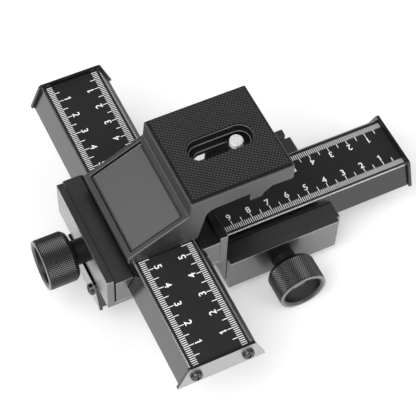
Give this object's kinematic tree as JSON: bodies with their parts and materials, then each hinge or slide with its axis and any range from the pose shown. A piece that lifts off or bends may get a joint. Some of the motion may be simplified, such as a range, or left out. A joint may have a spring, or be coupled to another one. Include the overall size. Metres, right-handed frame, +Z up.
{
  "type": "macro focusing rail",
  "caption": "Crossed dovetail focusing rails with rack and pinion knobs, printed scales and a cast bracket that holds a padded camera platform.",
  "frame": {"origin": "centre of the base carriage's underside, the face that meets a tripod plate", "axes": "+X along the lower rail to its long end, +Y along the upper rail away from the lower knob, +Z up"},
  "size_m": [0.1828, 0.1658, 0.0801],
  "materials": {
    "black_metal": "black anodised, satin",
    "black_paint": "black satin paint over a casting",
    "black_knurl": "black anodised, diamond knurl",
    "scale_print": "black strip with white printed scale",
    "plaque_grey": "plain matt grey plate",
    "pad_rubber": "ribbed black rubber",
    "bright_steel": "bright, machined",
    "dark_steel": "blackened",
    "bush_brass": "plain machined"
  },
  "bodies": {
    "base": {"base_carriage_body": "black_metal", "base_knob_side_plate": "black_metal", "base_guide_side_plate": "black_metal", "base_side_plate_screws": "dark_steel", "base_axle_sleeve": "black_metal", "base_axle_bush": "bush_brass"},
    "lower_drive": {"lower_focus_knob": "black_knurl", "lower_knob_grub_screw": "dark_steel", "lower_focus_axle": "bright_steel", "lower_focus_pinion": "bush_brass", "lower_pinion_pin": "bright_steel"},
    "lower_slide": {"lower_rail_bar": "black_metal", "lower_rail_rack": "bright_steel", "lower_rack_screws": "dark_steel", "lower_end_plate_screws": "bright_steel", "lower_end_plate_left": "black_metal", "lower_end_plate_right": "black_metal", "lower_scale": "scale_print", "riser_plate": "black_metal", "riser_screws": "dark_steel", "upper_carriage_body": "black_metal", "upper_knob_side_plate": "black_metal", "upper_guide_side_plate": "black_metal", "upper_side_plate_screws": "dark_steel", "upper_axle_sleeve": "black_metal", "upper_axle_bush": "bush_brass"},
    "upper_drive": {"upper_focus_knob": "black_knurl", "upper_knob_grub_screw": "dark_steel", "upper_focus_axle": "bright_steel", "upper_focus_pinion": "bush_brass", "upper_pinion_pin": "bright_steel"},
    "upper_slide": {"upper_rail_bar": "black_metal", "upper_rail_rack": "bright_steel", "upper_rack_screws": "dark_steel", "upper_end_plate_screws": "bright_steel", "upper_end_plate_far": "black_metal", "upper_end_plate_near": "black_metal", "upper_scale_far": "scale_print", "upper_scale_near": "scale_print", "bracket_screws": "dark_steel", "camera_bracket": "black_paint", "plaque": "plaque_grey", "platform_pad": "pad_rubber"},
    "screw_slider": {"camera_screw_washer": "bright_steel"},
    "screw_lift": {"camera_screw_clip": "dark_steel"},
    "screw_turn": {"camera_screw": "bright_steel", "camera_screw_knob": "black_knurl"}
  },
  "joints": [
    {"name": "lower_focus_slide", "type": "slide", "parent": "base", "child": "lower_slide", "axis": [1, 0, 0], "range_m": [-0.0406, 0.0587]},
    {"name": "lower_knob_turn", "type": "hinge", "parent": "base", "child": "lower_drive", "pos_m": [0, -0.04, 0.0072], "axis": [0, 1, 0], "range_deg": [-517.5, 748]},
    {"name": "upper_focus_slide", "type": "slide", "parent": "lower_slide", "child": "upper_slide", "axis": [0, 1, 0], "range_m": [-0.0483, 0.0511]},
    {"name": "upper_knob_turn", "type": "hinge", "parent": "lower_slide", "child": "upper_drive", "pos_m": [-0.09875, 0, 0.0317], "axis": [-1, 0, 0], "range_deg": [-615.6, 651.2]},
    {"name": "camera_screw_slot", "type": "slide", "parent": "upper_slide", "child": "screw_slider", "axis": [1, 0, 0], "range_m": [-0.0073, 0.0002]},
    {"name": "camera_screw_raise", "type": "slide", "parent": "screw_slider", "child": "screw_lift", "axis": [0, 0, 1], "range_m": [0, 0.0064]},
    {"name": "camera_screw_spin", "type": "hinge", "parent": "screw_lift", "child": "screw_turn", "pos_m": [-0.01345, 0, 0.0579], "axis": [0, 0, 1], "continuous": true}
  ],
  "couplings": [
    {"joint": "lower_knob_turn", "follows": "lower_focus_slide", "rad_per_m": 222.22},
    {"joint": "upper_knob_turn", "follows": "upper_focus_slide", "rad_per_m": 222.22}
  ]
}
